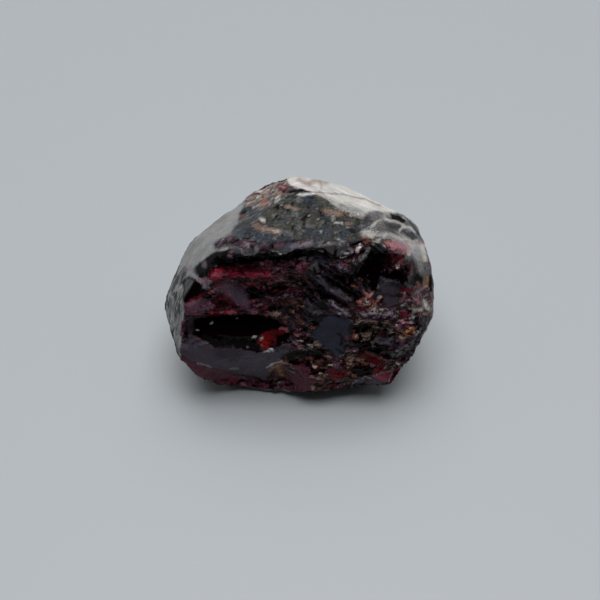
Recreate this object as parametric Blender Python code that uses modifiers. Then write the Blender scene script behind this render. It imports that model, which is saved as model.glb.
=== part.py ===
"""A garnet crystal, 30 mm wide, with its front broken away.

The crystal is a blunt, rounded dodecahedron that stands on one of its faces. Its front, towards -Y,
is a steep break that leans 13 degrees back, covered with flake scars. The rest of the outside is
made of the crystal's own faces.

Units are metres with +Z up. The origin is the middle of the crystal's box, on the ground.
"""

import math

import bmesh
import bpy
from mathutils import Matrix, Vector

NODE_NAME = "garnet_crystal"
MM = 0.001

# The crystal's faces. Each is a plane: the azimuth of its outward normal (0 is +X, 90 is +Y) and its
# elevation, both in degrees, and its distance from the crystal's centre in millimetres.
CENTRE_HEIGHT = 10.5
CRYSTAL_FACES = {
    "base": (0, -90, 10.5),
    "top": (-90, 84, 10.4),
    "cream": (54, 52, 10.9),
    "grey_left": (144, 50, 10.1),
    "left_shoulder": (172, 37, 11.5),
    "right_shoulder": (20, 44, 12.7),
    "back_top": (93, 37, 12.6),
    "back_left": (132, 12, 12.3),
    "back_right": (50, 14, 14.35),
    "back": (90, -12, 13.0),
    "back_low_left": (128, -42, 11.4),
    "back_low_right": (48, -40, 11.6),
    "left": (165, 5, 14.0),
    "left_front": (-158, 14, 13.7),
    "left_low": (-166, -33, 13.9),
    "left_low_front": (-128, -36, 14.2),
    "right": (5, 5, 14.3),
    "right_rim": (-32, 22, 13.3),
    "right_low": (-10, -34, 13.5),
    "right_low_front": (-25, -16, 14.3),
    "front_low": (-95, -40, 11.7),
    "front_low_right": (-84, -40, 11.75),
}
EDGE_WEAR = 0.4
EDGE_WEAR_SEGMENTS = 2

# The break is a plane too, and its own frame has u to the right, v up the slope and w outward.
BREAK_LEAN = 13.3
BREAK_DISTANCE = 6.6
BREAK_HALF_WIDTH = 16.5
BREAK_HALF_HEIGHT = 13.0
BREAK_GRID = 0.4
CUTTER_THICKNESS = 40.0

# The flake scars on the break, in its frame and in millimetres: the middle (u, v), the half length
# and half width, the turn of the long side in degrees, the depth, how flat the floor is (2 is a
# bowl, 6 is a flat floor with steep sides), and the slope of the floor along u and along v.
FLAKE_SCARS = {
    "recess_under_ridge": ((-4.2, 7.0), 7.2, 1.45, 7, 1.15, 5, (0.0, -0.62)),
    "left_corner": ((-11.9, 5.1), 2.5, 4.4, 0, 1.7, 6, (0.0, -0.5)),
    "ridge_bite_left": ((-8.6, 9.6), 2.8, 1.5, 20, 0.9, 2, (0.0, 0.0)),
    "ridge_bite_right": ((6.4, 11.0), 4.8, 3.4, -6, 2.4, 2, (0.0, 0.0)),
    "streaked_hollow": ((-6.4, 4.2), 5.6, 2.5, 4, 0.7, 2, (0.03, 0.0)),
    "triangle_flake": ((-4.8, 3.1), 3.2, 1.2, -40, 1.0, 4, (0.0, -0.15)),
    "middle_hollow": ((-0.6, 4.4), 2.8, 2.9, 10, 0.8, 2.5, (0.0, -0.06)),
    "black_flake": ((-6.4, -1.2), 6.3, 2.3, -3, 1.0, 9, (0.0, -0.42)),
    "lower_left_shell": ((-5.0, -7.2), 5.6, 4.2, -4, 1.5, 4, (0.0, 0.4)),
    "cavity": ((7.2, 6.7), 1.9, 3.1, -8, 3.0, 3, (0.0, 0.0)),
    "cavity_arm": ((8.9, 5.9), 2.9, 0.95, 4, 2.1, 3, (0.0, 0.0)),
    "groove_low": ((3.3, 3.3), 2.4, 0.5, -37, 0.9, 4, (0.0, 0.0)),
    "groove_middle": ((4.0, 4.5), 2.7, 0.5, -37, 1.1, 4, (0.0, 0.0)),
    "groove_high": ((4.8, 5.8), 2.3, 0.5, -37, 1.2, 4, (0.0, 0.0)),
    "upper_right_pit": ((10.4, 7.8), 1.7, 1.0, -15, 1.2, 3, (0.0, -0.1)),
    "slate_step": ((9.2, 3.2), 1.9, 1.9, 30, 0.8, 4, (0.1, -0.2)),
    "right_hackle": ((11.7, 1.4), 2.2, 3.4, 8, 0.7, 2.5, (0.0, 0.0)),
    "dark_right_flake": ((8.4, -1.6), 3.4, 1.7, -8, 1.0, 3, (0.0, -0.3)),
    "centre_scar": ((-0.4, 0.2), 2.0, 1.9, 30, 0.6, 3, (0.1, -0.1)),
    "amber_pocket": ((0.2, -5.0), 3.7, 1.6, 6, 0.7, 2.5, (0.0, -0.12)),
    "right_pocket": ((7.0, -4.9), 3.0, 1.5, 10, 0.8, 3, (0.0, -0.15)),
    "lower_right_chip": ((10.0, -6.9), 2.1, 1.7, -30, 1.0, 3, (-0.2, -0.1)),
    "bottom_notch": ((6.6, -9.4), 2.0, 1.2, 0, 1.3, 3, (0.0, 0.0)),
}

GARNET_COLOUR = (0.045, 0.008, 0.014, 1.0)
GARNET_ROUGHNESS = 0.18


def clear_scene():
    for old in list(bpy.data.objects):
        bpy.data.objects.remove(old)


def new_collection(name):
    collection = bpy.data.collections.new(name)
    bpy.context.scene.collection.children.link(collection)
    return collection


def new_object(name, mesh_in_mm, collection):
    """A mesh object from a bmesh in millimetres."""
    bmesh.ops.scale(mesh_in_mm, vec=(MM, MM, MM), verts=mesh_in_mm.verts)
    mesh = bpy.data.meshes.new(name)
    mesh_in_mm.to_mesh(mesh)
    mesh_in_mm.free()
    made = bpy.data.objects.new(name, mesh)
    collection.objects.link(made)
    return made


def direction(azimuth, elevation):
    level = math.cos(math.radians(elevation))
    return Vector((
        level * math.cos(math.radians(azimuth)),
        level * math.sin(math.radians(azimuth)),
        math.sin(math.radians(elevation)),
    ))


def crystal_block():
    """The whole crystal before it broke: a cube with every face of the crystal sliced off it."""
    block = bmesh.new()
    bmesh.ops.create_cube(block, size=60.0)
    centre = Vector((0.0, 0.0, CENTRE_HEIGHT))
    bmesh.ops.translate(block, vec=centre, verts=block.verts)
    for azimuth, elevation, distance in CRYSTAL_FACES.values():
        normal = direction(azimuth, elevation)
        cut = bmesh.ops.bisect_plane(
            block,
            geom=block.verts[:] + block.edges[:] + block.faces[:],
            plane_co=centre + distance * normal,
            plane_no=normal,
            clear_outer=True,
        )
        rim = [item for item in cut["geom_cut"] if isinstance(item, bmesh.types.BMEdge)]
        bmesh.ops.contextual_create(block, geom=rim)
    bmesh.ops.recalc_face_normals(block, faces=block.faces)
    return block


def wear_edges(crystal):
    """Round the crystal's edges a little, as handling has."""
    wear = crystal.modifiers.new("edge_wear", "BEVEL")
    wear.width = EDGE_WEAR * MM
    wear.segments = EDGE_WEAR_SEGMENTS
    wear.limit_method = "ANGLE"
    wear.angle_limit = math.radians(8)


def scar_depth(u, v, scar):
    """The height of one scar's floor at (u, v), which rises past the surface beyond its rim."""
    (middle_u, middle_v), half_length, half_width, turn, depth, flatness, (slope_u, slope_v) = scar
    across, up = u - middle_u, v - middle_v
    cosine, sine = math.cos(math.radians(turn)), math.sin(math.radians(turn))
    along = (across * cosine + up * sine) / half_length
    aside = (up * cosine - across * sine) / half_width
    reach = math.hypot(along, aside)
    return depth * (reach**flatness - 1.0) + slope_u * across + slope_v * up


def break_height(u, v):
    """The height of the broken surface above its plane, at (u, v)."""
    return min(0.0, min(scar_depth(u, v, scar) for scar in FLAKE_SCARS.values()))


def break_frame():
    """The placing of the break's own frame, with w along its outward normal."""
    outward = direction(-90, BREAK_LEAN)
    right = Vector((1.0, 0.0, 0.0))
    upward = outward.cross(right)
    start = Vector((0.0, 0.0, CENTRE_HEIGHT)) + BREAK_DISTANCE * outward
    turn = Matrix((right, upward, outward)).transposed().to_4x4()
    return Matrix.Translation(start * MM) @ turn


def break_cutter(collection):
    """What is missing in front of the break: a thick slab whose inner side has the scars on it."""
    slab = bmesh.new()
    bmesh.ops.create_grid(
        slab,
        x_segments=round(2 * BREAK_HALF_WIDTH / BREAK_GRID),
        y_segments=round(2 * BREAK_HALF_HEIGHT / BREAK_GRID),
        size=1.0,
    )
    for vert in slab.verts:
        u, v = vert.co.x * BREAK_HALF_WIDTH, vert.co.y * BREAK_HALF_HEIGHT
        vert.co = (u, v, break_height(u, v))
    outer = bmesh.ops.extrude_face_region(slab, geom=slab.faces[:])
    for item in outer["geom"]:
        if isinstance(item, bmesh.types.BMVert):
            item.co.z = CUTTER_THICKNESS
    bmesh.ops.recalc_face_normals(slab, faces=slab.faces)
    cutter = new_object("break_cutter", slab, collection)
    cutter.matrix_world = break_frame()
    cutter.hide_render = True
    cutter.display_type = "WIRE"
    return cutter


def break_front(crystal, cutter):
    cut = crystal.modifiers.new("break", "BOOLEAN")
    cut.operation = "DIFFERENCE"
    cut.solver = "EXACT"
    cut.object = cutter


def garnet_material():
    material = bpy.data.materials.new("garnet")
    material.use_nodes = True
    shader = material.node_tree.nodes["Principled BSDF"]
    shader.inputs["Base Color"].default_value = GARNET_COLOUR
    shader.inputs["Roughness"].default_value = GARNET_ROUGHNESS
    shader.inputs["Metallic"].default_value = 0.0
    return material


def stand_on_origin(crystal, cutter):
    """Move the crystal so that the middle of its box, at the ground, is the origin."""
    bpy.context.view_layer.update()
    broken = crystal.evaluated_get(bpy.context.evaluated_depsgraph_get())
    corners = [crystal.matrix_world @ Vector(corner) for corner in broken.bound_box]
    low = Vector([min(corner[axis] for corner in corners) for axis in range(3)])
    high = Vector([max(corner[axis] for corner in corners) for axis in range(3)])
    shift = Vector((-(low.x + high.x) / 2, -(low.y + high.y) / 2, -low.z))
    crystal.location += shift
    cutter.location += shift


def main():
    clear_scene()
    parts = new_collection(NODE_NAME + "_parts")
    cutters = new_collection("cutters")
    crystal = new_object(NODE_NAME, crystal_block(), parts)
    crystal.data.materials.append(garnet_material())
    cutter = break_cutter(cutters)
    wear_edges(crystal)
    break_front(crystal, cutter)
    stand_on_origin(crystal, cutter)


main()
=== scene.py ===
import math

import bmesh
import bpy
import numpy as np
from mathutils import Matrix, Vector


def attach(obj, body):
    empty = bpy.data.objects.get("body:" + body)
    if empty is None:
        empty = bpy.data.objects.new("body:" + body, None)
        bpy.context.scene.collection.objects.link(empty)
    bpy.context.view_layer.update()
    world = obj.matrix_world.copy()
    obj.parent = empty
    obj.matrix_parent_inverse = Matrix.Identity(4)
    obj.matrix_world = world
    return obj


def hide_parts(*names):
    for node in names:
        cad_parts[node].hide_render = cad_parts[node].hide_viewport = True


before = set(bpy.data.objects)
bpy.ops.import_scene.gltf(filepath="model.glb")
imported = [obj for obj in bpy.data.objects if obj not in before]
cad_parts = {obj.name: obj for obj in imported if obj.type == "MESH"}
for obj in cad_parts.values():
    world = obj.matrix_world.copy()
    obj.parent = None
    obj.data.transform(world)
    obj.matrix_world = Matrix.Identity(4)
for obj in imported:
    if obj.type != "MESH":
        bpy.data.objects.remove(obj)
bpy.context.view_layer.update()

# Lengths are in millimetres, in the CAD's own frame, and MM makes them metres.
MM = 0.001
NODE = "garnet_crystal"
FRONT = -90

# -------- the shape, as the CAD has it
CRYSTAL_CENTRE = np.array([0.172, -2.579, 10.5])
# Each face of the crystal: the azimuth and elevation that it looks to, and how far it is from the centre.
CRYSTAL_FACES = {
    "base": (0, -90, 10.5),
    "top": (-90, 84, 10.4),
    "cream": (54, 52, 10.9),
    "grey_left": (144, 50, 10.1),
    "left_shoulder": (172, 37, 11.5),
    "right_shoulder": (20, 44, 12.7),
    "back_top": (93, 37, 12.6),
    "back_left": (132, 12, 12.3),
    "back_right": (50, 14, 14.35),
    "back": (90, -12, 13.0),
    "back_low_left": (128, -42, 11.4),
    "back_low_right": (48, -40, 11.6),
    "left": (165, 5, 14.0),
    "left_front": (-158, 14, 13.7),
    "left_low": (-166, -33, 13.9),
    "left_low_front": (-128, -36, 14.2),
    "right": (5, 5, 14.3),
    "right_rim": (-32, 22, 13.3),
    "right_low": (-10, -34, 13.5),
    "right_low_front": (-25, -16, 14.3),
    "front_low": (-95, -40, 11.7),
    "front_low_right": (-84, -40, 11.75),
}
FACE_NAMES = list(CRYSTAL_FACES)
# The plane of the broken front: how many degrees it leans back, and how far it is from the centre.
BREAK_LEAN = 13.3
BREAK_DISTANCE = 6.6
# How far noise moves the borders between the faces' colours.
BORDER_WOBBLE = 0.5

# The flake scars on the break: middle (u, v), half length and half width, turn in degrees, depth,
# flatness of the floor, and its slope along u and v.
FLAKE_SCARS = {
    "recess_under_ridge": ((-4.2, 7.0), 7.2, 1.45, 7, 1.15, 5, (0.0, -0.62)),
    "left_corner": ((-11.9, 5.1), 2.5, 4.4, 0, 1.7, 6, (0.0, -0.5)),
    "ridge_bite_left": ((-8.6, 9.6), 2.8, 1.5, 20, 0.9, 2, (0.0, 0.0)),
    "ridge_bite_right": ((6.4, 11.0), 4.8, 3.4, -6, 2.4, 2, (0.0, 0.0)),
    "streaked_hollow": ((-6.4, 4.2), 5.6, 2.5, 4, 0.7, 2, (0.03, 0.0)),
    "triangle_flake": ((-4.8, 3.1), 3.2, 1.2, -40, 1.0, 4, (0.0, -0.15)),
    "middle_hollow": ((-0.6, 4.4), 2.8, 2.9, 10, 0.8, 2.5, (0.0, -0.06)),
    "black_flake": ((-6.4, -1.2), 6.3, 2.3, -3, 1.0, 9, (0.0, -0.42)),
    "lower_left_shell": ((-5.0, -7.2), 5.6, 4.2, -4, 1.5, 4, (0.0, 0.4)),
    "cavity": ((7.2, 6.7), 1.9, 3.1, -8, 3.0, 3, (0.0, 0.0)),
    "cavity_arm": ((8.9, 5.9), 2.9, 0.95, 4, 2.1, 3, (0.0, 0.0)),
    "groove_low": ((3.3, 3.3), 2.4, 0.5, -37, 0.9, 4, (0.0, 0.0)),
    "groove_middle": ((4.0, 4.5), 2.7, 0.5, -37, 1.1, 4, (0.0, 0.0)),
    "groove_high": ((4.8, 5.8), 2.3, 0.5, -37, 1.2, 4, (0.0, 0.0)),
    "upper_right_pit": ((10.4, 7.8), 1.7, 1.0, -15, 1.2, 3, (0.0, -0.1)),
    "slate_step": ((9.2, 3.2), 1.9, 1.9, 30, 0.8, 4, (0.1, -0.2)),
    "right_hackle": ((11.7, 1.4), 2.2, 3.4, 8, 0.7, 2.5, (0.0, 0.0)),
    "dark_right_flake": ((8.4, -1.6), 3.4, 1.7, -8, 1.0, 3, (0.0, -0.3)),
    "centre_scar": ((-0.4, 0.2), 2.0, 1.9, 30, 0.6, 3, (0.1, -0.1)),
    "amber_pocket": ((0.2, -5.0), 3.7, 1.6, 6, 0.7, 2.5, (0.0, -0.12)),
    "right_pocket": ((7.0, -4.9), 3.0, 1.5, 10, 0.8, 3, (0.0, -0.15)),
    "lower_right_chip": ((10.0, -6.9), 2.1, 1.7, -30, 1.0, 3, (-0.2, -0.1)),
    "bottom_notch": ((6.6, -9.4), 2.0, 1.2, 0, 1.3, 3, (0.0, 0.0)),
}

# -------- the visible mesh
# How far apart its points are on the skin, and how often the skin's edges and the break are smoothed.
SKIN_SPACING = 0.24
ROUNDING_PASSES = 25
EASING_PASSES = 4
EASING_SHARE = 0.8
# How far behind the break the skin still follows it, and the height over which the base stays flat.
BREAK_BORDER = 1.6
BASE_BAND = (0.05, 0.8)
# Edges that turn by more degrees than this are drawn sharp.
SHARP_EDGE = 32

# -------- the photograph's view
CAMERA_ELEVATION = 50.0
CAMERA_DISTANCE = 92.6
CAMERA_TARGET = np.array([0.172, -3.579, 9.5])
CAMERA_LENS = 50.0
SENSOR_WIDTH = 36.0
CLIP_START = 5.0
PHOTO_SIZE = 600
# The skin fades from the photograph's colours to the back's where it turns out of view.
VIEW_FADE = (0.02, 0.2)
VIEW_WOBBLE = 0.25


def direction(azimuth, elevation):
    """The unit vector at this azimuth (0 is +X, 90 is +Y) and elevation, in degrees."""
    a, e = math.radians(azimuth), math.radians(elevation)
    return np.array([math.cos(e) * math.cos(a), math.cos(e) * math.sin(a), math.sin(e)])


def turned(u, v, turn):
    """(along, aside) of axes turned by this many degrees."""
    c, s = math.cos(math.radians(turn)), math.sin(math.radians(turn))
    return u * c + v * s, v * c - u * s


def smoothstep(x, low, high):
    """0 up to the low limit and 1 from the high one, with a smooth rise between them."""
    t = np.clip((x - low) / (high - low), 0, 1)
    return t * t * (3 - 2 * t)


TO_CAMERA = direction(FRONT, CAMERA_ELEVATION)


# -------- noise, made once from a seed
LATTICE = 64
NOISE_LAYERS = 3


def value_noise(points, size, seed):
    """Smooth noise from -1 to 1, with lumps of this size."""
    lattice = np.random.default_rng(seed).uniform(-1, 1, (LATTICE,) * 3)
    places = points / size
    cell = np.floor(places).astype(int)
    part = smoothstep(places - cell, 0, 1)
    total = np.zeros(len(points))
    for corner in np.ndindex(2, 2, 2):
        weight = np.prod(np.where(corner, part, 1 - part), axis=1)
        index = (cell + corner) % LATTICE
        total += weight * lattice[index[:, 0], index[:, 1], index[:, 2]]
    return total


def fractal_noise(points, size, seed):
    """Noise with ever smaller lumps on it, about -1 to 1."""
    layers = [value_noise(points, size / 2**k, seed + k) / 2**k for k in range(NOISE_LAYERS)]
    return sum(layers) / (2 - 0.5 ** (NOISE_LAYERS - 1))


def nearest_cells(places, jitter):
    """The lattice cell whose jittered point is nearest to each place, and the way from that point."""
    cell = np.floor(places).astype(int)
    nearest = np.full(len(places), np.inf)
    found, gap = np.zeros(places.shape, int), np.zeros(places.shape)
    for step in np.ndindex((3,) * places.shape[1]):
        near = cell + np.array(step) - 1
        way = places - near - jitter[tuple((near % LATTICE).T)]
        reach = (way**2).sum(axis=1)
        closer = reach < nearest
        nearest = np.where(closer, reach, nearest)
        found = np.where(closer[:, None], near % LATTICE, found)
        gap = np.where(closer[:, None], way, gap)
    return tuple(found.T), gap


BEAD_SIZE = 0.62
# How far a bead spreads, as a share of its size, and how far noise moves it.
BEAD_REACH = 0.75
BEAD_WARP = 0.35
BEAD_SEED = 351


def beads(points):
    """Round beads grown over the skin: each place's bead number, 0 to 1, and its height, 0 to 1."""
    warp = [fractal_noise(points, size=0.9, seed=BEAD_SEED + k) for k in (1, 11, 21)]
    rng = np.random.default_rng(BEAD_SEED)
    jitter = rng.uniform(0, 1, (LATTICE, LATTICE, LATTICE, 3))
    numbers = rng.uniform(0, 1, (LATTICE,) * 3)
    bead, gap = nearest_cells((points + BEAD_WARP * np.column_stack(warp)) / BEAD_SIZE, jitter)
    reach = np.sqrt((gap**2).sum(axis=1))
    return numbers[bead], np.sqrt(np.clip(1 - (reach / BEAD_REACH) ** 2, 0, 1))


def shards(u, v, size, stretch, turn, seed):
    """The angular flakes of a rough break: for each place its flake's number, 0 to 1, the height of a
    flake that leans at random, and the way from the flake's middle."""
    rng = np.random.default_rng(seed)
    jitter = rng.uniform(0, 1, (LATTICE, LATTICE, 2))
    lean = rng.normal(0, 1, (LATTICE, LATTICE, 2))
    numbers = rng.uniform(0, 1, (LATTICE, LATTICE))
    along, aside = turned(u, v, turn)
    flake, gap = nearest_cells(np.column_stack([along, aside * stretch]) / size, jitter)
    height = (lean[flake] * gap).sum(axis=1) * size
    way_u, way_v = turned(gap[:, 0] * size, gap[:, 1] * size / stretch, -turn)
    return numbers[flake], height, way_u, way_v


# -------- the broken front
# An area is an ellipse on the break: its middle (u, v), half length, half width and turn in degrees.
SMOOTH_AREAS = {
    "left_corner": ((-11.8, 5.2), 2.4, 4.2, 0),
    "black_flake": ((-6.8, -0.8), 5.6, 1.7, -3),
    "black_flake_left": ((-10.2, -0.5), 2.6, 1.3, -8),
    "black_flake_right": ((-3.6, -0.4), 2.8, 1.4, 8),
    "lower_left_shell": ((-6.9, -6.2), 7.4, 3.0, -6),
    "slate_facet": ((3.6, -1.6), 2.0, 3.0, 8),
    "bottom_middle": ((-0.2, -8.2), 2.6, 1.4, 0),
    "rose_chip": ((9.0, -7.8), 1.3, 0.75, 10),
    "red_triangle": ((7.7, -5.1), 1.2, 0.6, -25),
    "mauve_facet": ((-7.0, 3.6), 2.2, 0.9, -34),
    "right_slate": ((9.4, 3.2), 1.5, 1.3, 30),
}
STREAK_AREA = ((-7.6, 4.4), 8.8, 4.6, 2)
BAR_AREA = ((3.6, 4.2), 3.6, 3.0, -37)
AREA_SOFTNESS = 0.35
# How much of its fine relief a smooth area loses.
SMOOTHING = 0.95

# The small flake scars are drawn at random from these ranges, and their turns and slopes from this mean
# and spread. Near the bars they turn with the bars.
FLAKES = 150
FLAKE_AREA = (14.0, 11.0)
FLAKE_LENGTHS = (0.6, 2.2)
FLAKE_SLIMNESS = (0.2, 0.6)
FLAKE_TURNS = (5, 20)
FLAKE_DEPTHS = (0.05, 0.25)
FLAKE_FLATNESS = (2, 6)
FLAKE_SLOPES = (0, 0.18)
BARS_ACROSS = (2, 7)
BARS_UP = (1, 7)
BARS_TURN = 38

# How far noise moves the scars' edges and the flakes' edges, how much the flakes lean, and the small
# swells over all of it.
SCAR_WARP = (0.4, 0.3)
FLAKE_RAGGEDNESS = 0.16
FLAKE_LEAN = 0.15
BROAD_LEAN = 0.12
BREAK_SWELL = 0.02
# Flakes are tilted to face up, as the treads of a stair are. The tilt fades out between these slopes,
# where the break faces up by itself. They are measured over a short step.
TREAD_SLOPE = 0.3
TREAD_FADE = (-0.35, -0.05)
SLOPE_STEP = 0.1

BREAK_OUT = direction(FRONT, BREAK_LEAN)
BREAK_RIGHT = np.array([1.0, 0.0, 0.0])
BREAK_UP = np.cross(BREAK_OUT, BREAK_RIGHT)
BREAK_START = CRYSTAL_CENTRE + BREAK_DISTANCE * BREAK_OUT


def break_places(points):
    """(u, v, w) of points in the break's own frame: right, up the slope, outward."""
    offset = points - BREAK_START
    return offset @ BREAK_RIGHT, offset @ BREAK_UP, offset @ BREAK_OUT


def ellipse_reach(across, up, half_length, half_width, turn):
    """How far places are from an ellipse's middle, as a share of the way to its edge."""
    along, aside = turned(across, up, turn)
    return np.hypot(along / half_length, aside / half_width)


def scar_depth(u, v, scar):
    """The height of a scar's floor, which rises without end outside its edge."""
    (middle_u, middle_v), half_length, half_width, turn, depth, flatness, (slope_u, slope_v) = scar
    across, up = u - middle_u, v - middle_v
    reach = ellipse_reach(across, up, half_length, half_width, turn)
    return depth * (reach**flatness - 1.0) + slope_u * across + slope_v * up


def scarred(u, v):
    """The height of the break as the CAD has it, 0 or less."""
    return np.minimum(0.0, np.min([scar_depth(u, v, scar) for scar in FLAKE_SCARS.values()], axis=0))


def in_area(u, v, area):
    """1 inside an area and 0 outside it, with a soft edge."""
    (middle_u, middle_v), *shape = area
    reach = ellipse_reach(u - middle_u, v - middle_v, *shape)
    return np.clip((1 + AREA_SOFTNESS / 2 - reach) / AREA_SOFTNESS, 0, 1)


def smooth_share(u, v):
    """How far each place lies in a smooth area, 0 to 1."""
    return np.max([in_area(u, v, area) for area in SMOOTH_AREAS.values()], axis=0)


def streaked_and_barred(u, v):
    """Where the flakes are long and level, and where they slant with the bars."""
    return in_area(u, v, STREAK_AREA) > 0.5, in_area(u, v, BAR_AREA) > 0.5


def small_flakes(u, v):
    """Many small flake scars, as a height of 0 or less."""
    rng = np.random.default_rng(seed=5)
    lowest = np.zeros_like(u)
    for _ in range(FLAKES):
        middle_u, middle_v = rng.uniform(-1, 1, 2) * FLAKE_AREA
        half_length = rng.uniform(*FLAKE_LENGTHS)
        half_width = half_length * rng.uniform(*FLAKE_SLIMNESS)
        by_bars = BARS_ACROSS[0] < middle_u < BARS_ACROSS[1] and BARS_UP[0] < middle_v < BARS_UP[1]
        turn = rng.normal(*FLAKE_TURNS) - BARS_TURN * by_bars
        depth, flatness = rng.uniform(*FLAKE_DEPTHS), rng.uniform(*FLAKE_FLATNESS)
        slope = rng.normal(*FLAKE_SLOPES, 2)
        scar = ((middle_u, middle_v), half_length, half_width, turn, depth, flatness, slope)
        lowest = np.minimum(lowest, scar_depth(u, v, scar))
    return lowest


def flake_pattern(u, v):
    """The flakes of the break: long and level on the left, slanting by the bars, small elsewhere."""
    streaked, barred = streaked_and_barred(u, v)
    level = shards(u, v, size=0.85, stretch=2.6, turn=4, seed=41)
    slanting = shards(u, v, size=0.8, stretch=2.2, turn=BAR_AREA[3], seed=42)
    small = shards(u, v, size=0.5, stretch=1.35, turn=10, seed=43)
    return [np.where(streaked, a, np.where(barred, b, c)) for a, b, c in zip(level, slanting, small)]


def fine_break(u, v):
    """The height of the break with its fine relief, and for each place its flake's number and the way
    from that flake's middle."""
    flat = np.column_stack([u, v, np.zeros_like(u)])
    warped_u = u + SCAR_WARP[0] * fractal_noise(flat, size=1.8, seed=11)
    warped_v = v + SCAR_WARP[1] * fractal_noise(flat, size=1.8, seed=21)
    ragged_u = u + FLAKE_RAGGEDNESS * fractal_noise(flat, size=0.5, seed=31)
    ragged_v = v + FLAKE_RAGGEDNESS * fractal_noise(flat, size=0.5, seed=36)
    height = scarred(warped_u, warped_v)
    rough = 1 - SMOOTHING * smooth_share(warped_u, warped_v)
    number, lean, way_u, way_v = flake_pattern(ragged_u, ragged_v)
    _, broad_lean, _, _ = shards(ragged_u, ragged_v, size=1.3, stretch=1.7, turn=12, seed=44)
    rise = (scarred(warped_u, warped_v + SLOPE_STEP) - height) / SLOPE_STEP
    treads = TREAD_SLOPE * smoothstep(rise, *TREAD_FADE) * way_v
    leaning = FLAKE_LEAN * lean + BROAD_LEAN * broad_lean - treads
    height = height + rough * (small_flakes(ragged_u, ragged_v) + leaning)
    swell = BREAK_SWELL * fractal_noise(flat, size=2.5, seed=51)
    grain = BREAK_SWELL * rough * fractal_noise(flat, size=0.6, seed=56)
    return height + swell + grain, number, way_u, way_v


def face_distances(points):
    """How far each point is outside each crystal face's plane, one column for a face."""
    normals = np.array([direction(a, e) for a, e, _ in CRYSTAL_FACES.values()])
    distances = np.array([d for _, _, d in CRYSTAL_FACES.values()])
    return (points - CRYSTAL_CENTRE) @ normals.T - distances


# -------- making the visible mesh
def vectors_of(mesh, what):
    """The "co" or the "normal" of each vertex of a mesh."""
    flat = np.empty(len(mesh.vertices) * 3, np.float32)
    mesh.vertices.foreach_get(what, flat)
    return flat.reshape(-1, 3).astype(float)


def remeshed(obj, spacing):
    """A new mesh, in millimetres, with points this far apart all over the object's surface."""
    helper = bpy.data.objects.new("remesh_helper", obj.data.copy())
    helper.data.transform(obj.matrix_world)
    for vert in helper.data.vertices:
        vert.co = vert.co / MM
    bpy.context.scene.collection.objects.link(helper)
    remesh = helper.modifiers.new("even_points", "REMESH")
    remesh.mode = "VOXEL"
    remesh.voxel_size = spacing
    bpy.context.view_layer.update()
    made = bpy.data.meshes.new_from_object(helper.evaluated_get(bpy.context.evaluated_depsgraph_get()))
    bpy.data.objects.remove(helper)
    return made


def on_break(points):
    """Whether each point lies on the break and not on a face of the crystal."""
    u, v, w = break_places(points)
    return np.abs(w - scarred(u, v)) < -face_distances(points).max(axis=1)


def split_break_faces(mesh):
    """Twice the points each way on the break."""
    broken = on_break(vectors_of(mesh, "co"))
    work = bmesh.new()
    work.from_mesh(mesh)
    edges = {edge for face in work.faces if all(broken[v.index] for v in face.verts) for edge in face.edges}
    bmesh.ops.subdivide_edges(work, edges=list(edges), cuts=1, use_grid_fill=True)
    work.to_mesh(mesh)
    work.free()


def smoothed(points, mesh, share, passes):
    """Points moved half way to the mean of their neighbours in each pass, times each point's share."""
    ends = np.empty(len(mesh.edges) * 2, int)
    mesh.edges.foreach_get("vertices", ends)
    first, second = ends.reshape(-1, 2).T
    count = np.bincount(ends, minlength=len(points))[:, None]
    for _ in range(passes):
        total = np.zeros_like(points)
        np.add.at(total, first, points[second])
        np.add.at(total, second, points[first])
        points = points + share[:, None] * 0.5 * (total / count - points)
    return points


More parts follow.
